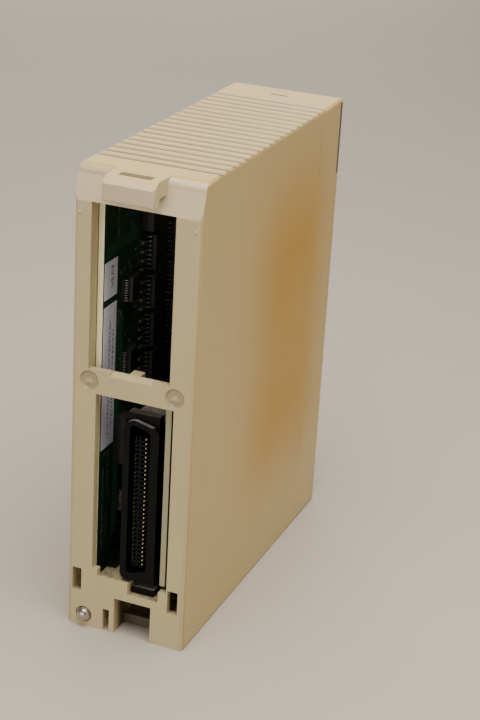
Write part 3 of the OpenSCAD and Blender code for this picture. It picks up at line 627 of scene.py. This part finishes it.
def moulded_chip(piece, lo, hi, away):
    """Chip body: a waist at the lead line, drafted sides, and a pin-one dimple. away is -1 or 1 in X."""
    draft, edge = 0.14, 0.06
    waist = (lo.x + hi.x) / 2
    points = []
    for x, inset in ((lo.x, draft + edge), (lo.x + edge, draft), (waist, 0), (hi.x - edge, draft),
                     (hi.x, draft + edge)):
        for y in (lo.y + inset, hi.y - inset):
            for z in (lo.z + inset, hi.z - inset):
                points.append((x, y, z))
    piece.hull(points, CHIP)
    top = lo.x if away < 0 else hi.x
    dot = Vector((top - away * 0.02, hi.y - 0.9, hi.z - 0.9))
    piece.lathe(dot, (away, 0, 0), [(0, 0.36), (0.045, 0.34), (0.05, 0.3)], DIMPLE, 12)


def chips():
    """Bodies of the chips on the main board."""
    piece = Piece("chips_on_main_board", CHIP, DIMPLE)
    for lo, hi in solids("logic_chips"):
        moulded_chip(piece, lo, hi, -1)
    piece.done("root", "black_plastic", "logic_chips")


def gull_wing(piece, lo, hi, body_side, board_x, away):
    """One lead between a chip and its board, with its pad and solder.

    body_side is the chip's side in Y, and away is the board's outward direction in X.
    """
    z = (lo.z + hi.z) / 2
    width = (hi.z - lo.z) * 0.85
    inner, outer = (hi.y, lo.y) if body_side > 0 else (lo.y, hi.y)
    out = -body_side
    high = board_x + away * 0.95
    low = board_x + away * 0.11
    thick = 0.15
    length = abs(outer - inner)
    knee = inner + out * length * 0.36
    toe = inner + out * length * 0.55
    piece.ribbon([(high, inner - out * 0.15, z), (high, knee - out * 0.05, z),
                  (high - away * 0.12, knee + out * 0.07, z), (low + away * 0.12, toe - out * 0.05, z),
                  (low, toe + out * 0.07, z), (low, outer, z)], width, thick, (0, 0, 1), TIN)
    pad_r = width * 0.62
    pad_x = sorted((board_x, board_x + away * 0.05))
    pad_y = sorted((toe - out * 0.2, outer + out * 0.3))
    pad_lo, pad_hi = zip(pad_x, pad_y, (z - pad_r, z + pad_r))
    piece.box(pad_lo, pad_hi, TIN, 0.02)
    piece.lathe((board_x, (outer + toe) / 2, z), (away, 0, 0),
                [(0, pad_r), (0.12, width * 0.5), (0.2, width * 0.25)], TIN, 8)


def leads():
    """Gull-wing leads. A lead's chip is on the side where the nearest chip body lies."""
    piece = Piece("chip_leads_soldered", TIN)
    bodies = solids("logic_chips")
    for lo, hi in solids("chip_leads"):
        y = (lo.y + hi.y) / 2
        z = (lo.z + hi.z) / 2
        near = [b for b in bodies if b[0].z - 0.5 < z < b[1].z + 0.5]
        chip = min(near, key=lambda b: min(abs(b[0].y - y), abs(b[1].y - y)))
        side = 1 if (chip[0].y + chip[1].y) / 2 > y else -1
        gull_wing(piece, lo, hi, side, FACE, -1)
    piece.done("root", "plated_steel", "chip_leads")


def resistor(piece, lo, hi):
    """Chip resistor lying along Y: dark body, tinned ends, and solder fillets."""
    cap = (hi.y - lo.y) * 0.24
    piece.box((lo.x, lo.y + cap, lo.z), (hi.x, hi.y - cap, hi.z), CERAMIC, 0.05)
    for y0, y1 in ((lo.y, lo.y + cap), (hi.y - cap, hi.y)):
        piece.box((lo.x - 0.03, y0, lo.z - 0.03), (hi.x, y1, hi.z + 0.03), TIN, 0.06)
    for y in (lo.y - 0.12, hi.y + 0.12):
        mid = (lo.z + hi.z) / 2
        piece.lathe((hi.x, y, mid), (-1, 0, 0), [(0, 0.42), (0.14, 0.36), (0.26, 0.16)], TIN, 10)


def crystal(piece, lo, hi):
    """Metal crystal can with round ends on a flat flange."""
    r = (hi.z - lo.z) / 2
    mid_z = (lo.z + hi.z) / 2
    for x0, x1, grow in ((hi.x - 0.7, hi.x, 0.0), (lo.x, hi.x - 0.65, -0.28)):
        points = []
        for x, inset in ((x0, 0.22), (x0 + 0.22, 0), (x1, 0)):
            for end, y in ((-1, lo.y + r), (1, hi.y - r)):
                for k in range(-5, 6):
                    a = math.pi * k / 10
                    reach = r + grow - inset
                    points.append((x, y + end * reach * math.cos(a), mid_z + reach * math.sin(a)))
        piece.hull(points, ALUMINIUM)


def solder_dome(piece, lo, hi):
    """Low dome of solder on a bare pad."""
    mid = (lo + hi) / 2
    r = (hi.z - lo.z) / 2
    piece.lathe((FACE, mid.y, mid.z), (-1, 0, 0),
                [(0, r * 1.2), (0.08, r * 1.15), (0.22, r * 0.9), (0.34, r * 0.55), (0.40, r * 0.2)],
                SOLDER, 16)


def small_parts():
    """Crystal, chip resistors and solder domes, told apart by their length along Y."""
    piece = Piece("crystal_resistors_solder", CERAMIC, TIN, ALUMINIUM, SOLDER)
    for lo, hi in solids("crystal_and_resistors"):
        length = (hi - lo).y
        if length > 5:
            crystal(piece, lo, hi)
        elif length > 1.3:
            resistor(piece, lo, hi)
        else:
            solder_dome(piece, lo, hi)
    piece.done("root", "small_parts", "crystal_and_resistors")


def bus_drivers():
    """Chips of the bus board, each with seven leads on both sides."""
    piece = Piece("bus_driver_chips_leaded", CHIP, DIMPLE, TIN)
    lead_y, lead_half = 1.3, 0.24
    for lo, hi in solids("bus_driver_chips"):
        body_lo = Vector((lo.x + 0.15, lo.y + lead_y, lo.z))
        body_hi = Vector((hi.x, hi.y - lead_y, hi.z))
        moulded_chip(piece, body_lo, body_hi, 1)
        for k in range(7):
            z = (lo.z + hi.z) / 2 + (k - 3) * FINE_PITCH
            for side, y0, y1 in ((1, lo.y, body_lo.y), (-1, body_hi.y, hi.y)):
                lead_lo = Vector((lo.x, y0, z - lead_half))
                lead_hi = Vector((lo.x, y1, z + lead_half))
                gull_wing(piece, lead_lo, lead_hi, side, BUS_FACE, 1)
    piece.done("root", "black_plastic", "bus_driver_chips")


def capacitors():
    """Electrolytic capacitors: sleeve with a crimp near one end, and a bare lid."""
    piece = Piece("smoothing_capacitor_cans", SLEEVE, ALUMINIUM)
    for lo, hi in solids("smoothing_capacitors"):
        size = hi - lo
        axis = (0, 1, 0) if size.y > size.z + 1 else (-1, 0, 0)
        r = size.z / 2
        length = size.y if axis[1] else size.x
        mid = (lo + hi) / 2
        foot = Vector((mid.x, lo.y, mid.z)) if axis[1] else Vector((hi.x, mid.y, mid.z))
        piece.lathe(foot, axis, [
            (0, r * 0.9), (0.2, r), (0.9, r), (1.2, r * 0.93), (1.5, r), (length - 0.35, r),
            (length - 0.1, r * 0.96), (length - 0.02, r * 0.86)], SLEEVE, 36)
        piece.lathe(foot, axis, [(length - 0.3, r * 0.84), (length - 0.1, r * 0.84), (length, r * 0.8)],
                    ALUMINIUM, 36)
    piece.done("root", "capacitor_sleeve", "smoothing_capacitors")


def transformer():
    """Isolation transformer: split ferrite core around a taped winding, on a pinned base."""
    piece = Piece("isolation_transformer_wound", CORE, TAPE, BLACK, TIN)
    lo, hi = corners("isolation_transformer")
    seam, gap = (lo.y + hi.y) / 2, 0.06
    arm, leg = 4.2, 3.4
    core_x, base_x = lo.x + 1, hi.x - 1.4
    for y0, y1 in ((lo.y, seam - gap), (seam + gap, hi.y)):
        for z0, z1 in ((lo.z, lo.z + arm), (hi.z - arm, hi.z)):
            piece.box((core_x, y0, z0), (base_x, y1, z1), CORE, 0.3)
    for y0, y1 in ((lo.y, lo.y + leg), (hi.y - leg, hi.y)):
        piece.box((core_x, y0, lo.z + arm - 0.5), (base_x, y1, hi.z - arm + 0.5), CORE, 0.2)
    mid = Vector(((lo.x + hi.x) / 2 - 0.2, 0, (lo.z + hi.z) / 2))
    r = (hi.z - lo.z) / 2 - arm - 0.3
    flange_r, core_r = r - 0.5, r - 1.4
    piece.lathe((mid.x, lo.y + 3.5, mid.z), (0, 1, 0),
                [(0, flange_r), (0.6, flange_r), (0.7, core_r), (12.3, core_r), (12.4, flange_r),
                 (13, flange_r)], BLACK, 40)
    piece.lathe((mid.x, lo.y + 4.25, mid.z), (0, 1, 0),
                [(0, 3.9), (0, 4.9), (5.6, 5.05), (5.65, 4.9), (11.4, 4.95), (11.4, 3.9)], TAPE, 40)
    piece.box((hi.x - 1.5, lo.y + 0.6, lo.z + 1), (hi.x, hi.y - 0.6, hi.z - 1), BLACK, 0.25)
    pin_l, pin_r, pin_pitch = 1.2, 0.3, 3.5
    for k in range(5):
        for z in (lo.z + 0.6, hi.z - 0.6):
            foot = (hi.x - pin_l, lo.y + 3 + k * pin_pitch, z)
            piece.lathe(foot, (1, 0, 0), [(0, pin_r), (pin_l, pin_r)], TIN, 10)
    piece.done("root", "transformer_core", "isolation_transformer")


def couplers():
    """Light-coupled isolators with four formed legs each."""
    piece = Piece("opto_couplers_leaded", CREAM, TIN)
    for lo, hi in solids("opto_couplers"):
        y0, y1 = lo.y + 0.8, hi.y - 0.8
        draft = 0.18
        points = []
        for x, inset in ((lo.x, draft), (lo.x + 1.5, 0), (hi.x - 0.5, draft)):
            for y in (y0 + inset, y1 - inset):
                for z in (lo.z + inset, hi.z - inset):
                    points.append((x, y, z))
        piece.hull(points, CREAM)
        mid_z = (lo.z + hi.z) / 2
        wide, thick = 0.55, 0.25
        for z in (mid_z - PITCH / 2, mid_z + PITCH / 2):
            for out, y in ((-1, y0), (1, y1)):
                piece.ribbon([(lo.x + 1.5, y - out * 0.2, z), (lo.x + 1.5, y + out * 0.5, z),
                              (lo.x + 1.75, y + out * 0.7, z), (hi.x, y + out * 0.75, z)],
                             wide, thick, (0, 0, 1), TIN)
    piece.done("root", "coupler_cream", "opto_couplers")


def lamps():
    """Small lamps: a flanged base and a domed lens each."""
    piece = Piece("indicator_lamp_lenses", LAMP)
    for lo, hi in solids("indicator_lamps"):
        mid = (lo + hi) / 2
        r = (hi.z - lo.z) / 2
        base = (mid.x, hi.y, mid.z)
        length = hi.y - lo.y
        dome = [(length - 0.85 * r * (1 - math.sin(a)), 0.8 * r * math.cos(a))
                for a in (0, 0.35, 0.7, 1.05, 1.35, 1.55)]
        piece.lathe(base, (0, -1, 0), [(0, r * 0.98), (0.05, r), (0.5, r), (0.55, r * 0.8), *dome], LAMP, 24)
    piece.done("root", "lamp_red", "indicator_lamps")


def bus_contacts():
    """Sprung contacts of the bus connector: each bows out from the tongue and curls in at its tip."""
    piece = Piece("bus_contacts_sprung", GOLD)
    first, last = corners("bus_connector_contacts")
    tongue_mid = (first.x + last.x) / 2
    for lo, hi in solids("bus_connector_contacts"):
        x = (lo.x + hi.x) / 2
        z = (lo.z + hi.z) / 2
        out = -1 if x < tongue_mid else 1
        tip = hi.y
        wide, thick = 0.40, 0.16
        flat = x - out * 0.1
        piece.ribbon([
            (flat, lo.y, z), (flat, lo.y + 3.2, z), (flat + out * 0.10, tip - 2.6, z),
            (flat + out * 0.30, tip - 1.5, z), (flat + out * 0.34, tip - 1.0, z),
            (flat + out * 0.26, tip - 0.5, z), (flat + out * 0.06, tip - 0.12, z),
            (flat - out * 0.12, tip, z)], wide, thick, (0, 0, 1), GOLD)
    piece.done("root", "contact_gold", "bus_connector_contacts")


def link_halves():
    """Stacking connector between the boards: ribbed shells with keys at their ends."""
    for node in ("board_link_socket", "board_link_plug"):
        piece = Piece(f"{node}_shell", BLACK)
        lo, hi = corners(node)
        piece.box(lo, hi, BLACK, 0.25)
        rib = 0.14
        for k in range(int((hi.z - lo.z) / PITCH)):
            z = lo.z + 1.6 + k * PITCH
            for y in (lo.y, hi.y):
                piece.box((lo.x + 0.8, y - rib, z), (hi.x - 0.8, y + rib, z + 0.8), BLACK, 0.1)
        mid_y = (lo.y + hi.y) / 2
        for z in (lo.z, hi.z):
            piece.box((lo.x + 1, mid_y - 0.9, z - 0.5), (hi.x - 1, mid_y + 0.9, z + 0.5), BLACK, 0.15)
        piece.done("root", "black_plastic", node)


def cross_outline(arm, half):
    """Corners of a cross, anticlockwise: the reach of its arms and half their width."""
    quarter = ((arm, -half), (arm, half), (half, half))
    return [(u * math.cos(a) - v * math.sin(a), u * math.sin(a) + v * math.cos(a))
            for a in (k * math.pi / 2 for k in range(4)) for u, v in quarter]


def crown_ring(rim, lip):
    """Points and faces of a nearly flat crown that faces -Y, between its rim and a hole's lip."""
    bm = bmesh.new()
    edges = []
    for loop in (rim, lip):
        verts = [bm.verts.new(p) for p in loop]
        edges += [bm.edges.new((v, verts[(k + 1) % len(verts)])) for k, v in enumerate(verts)]
    bmesh.ops.triangle_fill(bm, edges=edges, use_beauty=True, normal=(0, -1, 0))
    bm.verts.index_update()
    points = [v.co.copy() for v in bm.verts]
    faces = [[v.index for v in f.verts] for f in bm.faces]
    bm.free()
    return points, faces


def cross_head(piece, foot, turn, head_r):
    """Pan head that faces -Y, with a cross recess sunk into its crown. foot is the middle of its seat."""
    crown, deep, taper, sides = 1.72, 0.8, 0.8, 48
    # Rise and radius of each ring, from the seat up
    rings = [(0.0, head_r - 0.1), (0.12, head_r), (0.9, head_r), (1.35, head_r * 0.93), (1.62, head_r * 0.8)]
    outline = cross_outline(1.6, 0.36)
    count = len(outline)

    def spot(u, v, rise):
        """Point of the turned head, at a rise above its seat."""
        a, b = math.cos(turn), math.sin(turn)
        return foot + Vector((u * a - v * b, -rise, u * b + v * a))

    points = []
    for rise, r in rings:
        for k in range(sides):
            a = 2 * math.pi * k / sides
            points.append(spot(r * math.cos(a), r * math.sin(a), rise))
    piece.add(points, ring_faces(len(rings), sides), STEEL, True)
    lip = [spot(u, v, crown) for u, v in outline]
    sunk = [spot(u * taper, v * taper, crown - deep) for u, v in outline]
    piece.add(*crown_ring(points[-sides:], lip), STEEL)
    # The recess takes the ceramic parts' dark colour, darker than the steel around it
    piece.add(lip + sunk, ring_faces(2, count), CERAMIC)
    piece.add(sunk, [list(range(count))], CERAMIC)
    piece.add(points[:sides][::-1], [list(range(sides))], STEEL)


def screws():
    """Terminal screws: pan heads with a cross recess, on short shanks."""
    piece = Piece("terminal_screw_heads", STEEL, CERAMIC)
    head_r, shank_r = 2.8, 1.45
    for lo, hi in solids("terminal_screws"):
        foot = Vector(((lo.x + hi.x) / 2, lo.y + 2, (lo.z + hi.z) / 2))
        cross_head(piece, foot, dice.uniform(0, math.pi), head_r)
        length = hi.y - lo.y - 2.1
        piece.lathe(foot, (0, 1, 0), [(-0.1, shank_r), (length - 0.5, shank_r), (length, 1.0)], STEEL, 20)
    piece.done("removable_block", "plated_steel", "terminal_screws")


# ---------------------------------------------------------------- details on the main board

def on_board(depth, z):
    """Spot on the main board's component side, at a depth behind the rear plane."""
    return Vector((FACE, REAR - depth, z))


def track(piece, spots, width, lift, look):
    """Flat line along spots, each given as (depth, z)."""
    for (d0, z0), (d1, z1) in zip(spots, spots[1:]):
        a, b = on_board(d0, z0), on_board(d1, z1)
        way = (b - a).normalized()
        side = Vector((1, 0, 0)).cross(way) * (width / 2)
        a, b = a - way * width * 0.4, b + way * width * 0.4
        points = [p + s + Vector((x, 0, 0)) for p in (a, b) for s in (-side, side) for x in (-lift, 0.01)]
        piece.hull(points, look)


def via(piece, depth, z, r):
    """Tinned rim of a plated hole."""
    piece.lathe(on_board(depth, z), (-1, 0, 0), [(-0.01, r), (0.05, r * 0.95), (0.07, r * 0.6)], TIN, 12)


def board_tracks():
    """Copper under the mask: fan-out of the long chips, and bundles along the rear edge."""
    piece = Piece("board_tracks_and_vias", TRACK, TIN)
    wide, fine = 0.34, 0.2
    # Depths where the fan-out of each long chip ends, from its top row down
    reach = ((23.0, 19.0, 20.2, 24.0), (24.8, 24.2, 23.6, 22.8), (18.0, 20.8, 19.2, 17.6),
             (23.6, 22.8, 22.0, 21.0))
    for group, ends in enumerate(reach):
        middle = 98.95 - 11.15 * group
        for row, end in enumerate(ends):
            z = middle + (1.5 - row) * PITCH
            track(piece, [(29.6, z), (28.2, z)], wide, 0.045, TRACK)
            track(piece, [(26.6, z), (end + 0.8, z), (end, z - 0.7)], wide, 0.045, TRACK)
            via(piece, end, z - 0.7, 0.42)
    # A bundle of upright tracks that jogs halfway, and one that runs in from the rear edge
    for k in range(7):
        depth = 12.9 + k * 0.42
        low, high = 21 + k * 0.6, 88 - k * 0.5
        jog = 62 + k * 0.42
        track(piece, [(depth, low), (depth, jog), (depth + 0.9, jog + 0.9), (depth + 0.9, high)],
              fine, 0.04, TRACK)
        via(piece, depth + 0.9, high + 0.2, 0.3)
    for k in range(6):
        z = 105.2 + k * 0.5
        track(piece, [(6.2 + k * 0.3, z), (22 - k * 0.6, z), (24 - k * 0.6, z + 2)], fine, 0.04, TRACK)
    covered = [box for node in ("logic_chips", "board_labels", "crystal_and_resistors",
                                "board_link_socket", "chip_leads") for box in solids(node)]
    for _ in range(26):
        depth = dice.uniform(6, 26)
        z = dice.uniform(18, 122)
        if not blocked(depth, z, covered):
            via(piece, depth, z, dice.choice((0.28, 0.34, 0.4)))
    piece.done("root", "board_green")


def blocked(depth, z, covered):
    """True where one of the covered boxes, with a margin, already stands on the main board."""
    spot = on_board(depth, z)
    margin = 0.6
    return any(lo.y - margin < spot.y < hi.y + margin and lo.z - margin < spot.z < hi.z + margin
               for lo, hi in covered)


def dash_column(piece, depth, z0, z1, height, look):
    """Column of tiny strokes, like print too small to read."""
    z = z0
    half = height / 2
    while z < z1:
        for _ in range(dice.choice((2, 3, 3))):
            d = depth + dice.uniform(-half, half)
            spots = [(d, z + 0.05), (d, z + 0.65)]
            if dice.random() >= 0.5:
                level = z + dice.uniform(0.1, 0.6)
                spots = [(depth - half, level), (depth + half, level)]
            track(piece, spots, 0.13, 0.03, look)
        z += 1.0 if dice.random() < 0.82 else 1.9


def board_print():
    """White print: unreadable dashes along the rear edge and outlines around the small chips."""
    piece = Piece("board_print", INK)
    # Depth of each column of strokes, where it starts and ends, and how tall its strokes are
    columns = ((12.5, 108.6, 118.5, 1.0), (13.3, 76.8, 88.2, 0.8), (6.9, 20, 49.2, 0.9),
               (9.6, 36, 49.0, 0.9), (9.4, 22, 30, 0.7))
    for depth, z0, z1, height in columns:
        dash_column(piece, depth, z0, z1, height, INK)
    for lo, hi in solids("logic_chips"):
        d0, d1 = REAR - hi.y - 0.1, REAR - lo.y + 0.1
        if d1 - d0 < 6:
            z0, z1 = lo.z - 0.35, hi.z + 0.35
            track(piece, [(d0, z0), (d1, z0)], 0.14, 0.03, INK)
            track(piece, [(d0, z1), (d1, z1)], 0.14, 0.03, INK)
    piece.done("root", "label_white")


# ---------------------------------------------------------------- dirt and small surface marks

def crumbs():
    """Crumbs of dirt on the tray, the sill, and the connector's flange and lower ear."""
    piece = Piece("settled_crumbs", CRUMB)
    tray, sill, flange, ear = 16.2, 12.7, 65.8, 14.9
    # How many, between which X, between which depths behind the rear plane, and at what height
    places = (
        (22, (5.4, 8.3), (0.8, 6.0), tray),
        (8, (-0.2, 5.0), (2.3, 5.8), tray),
        (10, (-8.8, -1.2), (0.4, 1.8), sill),
        (12, (-7.0, 1.4), (2.5, 5.6), flange),
        (8, (-7.0, -2.3), (2.4, 4.0), ear),
    )
    for count, xs, depths, z in places:
        for _ in range(count):
            r = dice.uniform(0.06, 0.17)
            spot = Vector((dice.uniform(*xs), REAR - dice.uniform(*depths), z + r * 0.3))
            points = [spot + Vector((dice.uniform(-1, 1), dice.uniform(-1, 1), dice.uniform(-0.6, 0.9))) * r
                      for _ in range(9)]
            piece.hull(points, CRUMB)
    piece.done("root", "small_parts")


chips()
leads()
small_parts()
bus_drivers()
capacitors()
transformer()
couplers()
lamps()
bus_contacts()
link_halves()
screws()
board_tracks()
board_print()
crumbs()


# ---------------------------------------------------------------- stage

def floor():
    """Plain pale floor, well past every view."""
    mesh = bpy.data.meshes.new("floor")
    half = 6.0
    mesh.from_pydata([(-half, -half, 0), (half, -half, 0), (half, half, 0), (-half, half, 0)],
                     [], [(0, 1, 2, 3)])
    piece = bpy.data.objects.new("floor", mesh)
    bpy.context.scene.collection.objects.link(piece)
    s = Shader("floor_paint", Roughness=0.7, Specular_IOR_Level=0.2)
    s.colour(s.mix(s.noise(8, 3), (0.45, 0.42, 0.37), (0.48, 0.445, 0.395)))
    mesh.materials.append(s.mat)


def softbox(name, place, target, size, watts, tone):
    """Rectangular soft light at a place, turned to a target."""
    data = bpy.data.lights.new(name, "AREA")
    data.shape = "RECTANGLE"
    data.size, data.size_y = size
    data.energy = watts
    data.color = tone
    lamp = bpy.data.objects.new(name, data)
    lamp.location = place
    lamp.rotation_euler = (Vector(target) - Vector(place)).to_track_quat("-Z", "Y").to_euler()
    bpy.context.scene.collection.objects.link(lamp)


def room_light(tone, strength):
    """Even light from all around."""
    world = bpy.data.worlds.new("studio")
    bpy.context.scene.world = world
    world.use_nodes = True
    background = world.node_tree.nodes["Background"]
    background.inputs["Color"].default_value = rgba(tone)
    background.inputs["Strength"].default_value = strength


def camera():
    """Looks down at the rear and the -X side from half a metre, slightly rolled."""
    azimuth, elevation, roll = (math.radians(v) for v in (201.313, 22.762, 3.321))
    distance = 0.50893
    aim = Vector((0.0, -0.0273, 0.0539))
    back = Vector((math.sin(azimuth) * math.cos(elevation),
                   -math.cos(azimuth) * math.cos(elevation), math.sin(elevation)))
    right = Vector((0, 0, 1)).cross(back).normalized()
    up = back.cross(right)
    right, up = (right * math.cos(roll) + up * math.sin(roll),
                 up * math.cos(roll) - right * math.sin(roll))
    data = bpy.data.cameras.new("camera")
    data.sensor_width = 36
    data.lens = 85.84
    data.clip_start, data.clip_end = 0.01, 20
    eye = bpy.data.objects.new("camera", data)
    turn = Matrix((right, up, back)).transposed()
    eye.matrix_world = Matrix.Translation(aim + back * distance) @ turn.to_4x4()
    bpy.context.scene.collection.objects.link(eye)
    bpy.context.scene.camera = eye


floor()
softbox("key", (-0.10, 0.12, 0.72), (0, 0, 0.08), (0.65, 0.65), 9.5, (1.0, 0.93, 0.83))
softbox("rear_fill", (0.15, 0.95, 0.20), (0, 0, 0.07), (0.8, 0.4), 2.6, (1.0, 0.93, 0.84))
softbox("side_fill", (-0.95, 0.15, 0.30), (0, 0, 0.06), (0.6, 0.6), 1.4, (1.0, 0.91, 0.78))
softbox("front_fill", (0.50, -0.95, 0.40), (0, 0, 0.06), (0.7, 0.7), 3.5, (1.0, 0.95, 0.88))
room_light((0.95, 0.89, 0.80), 0.28)
camera()
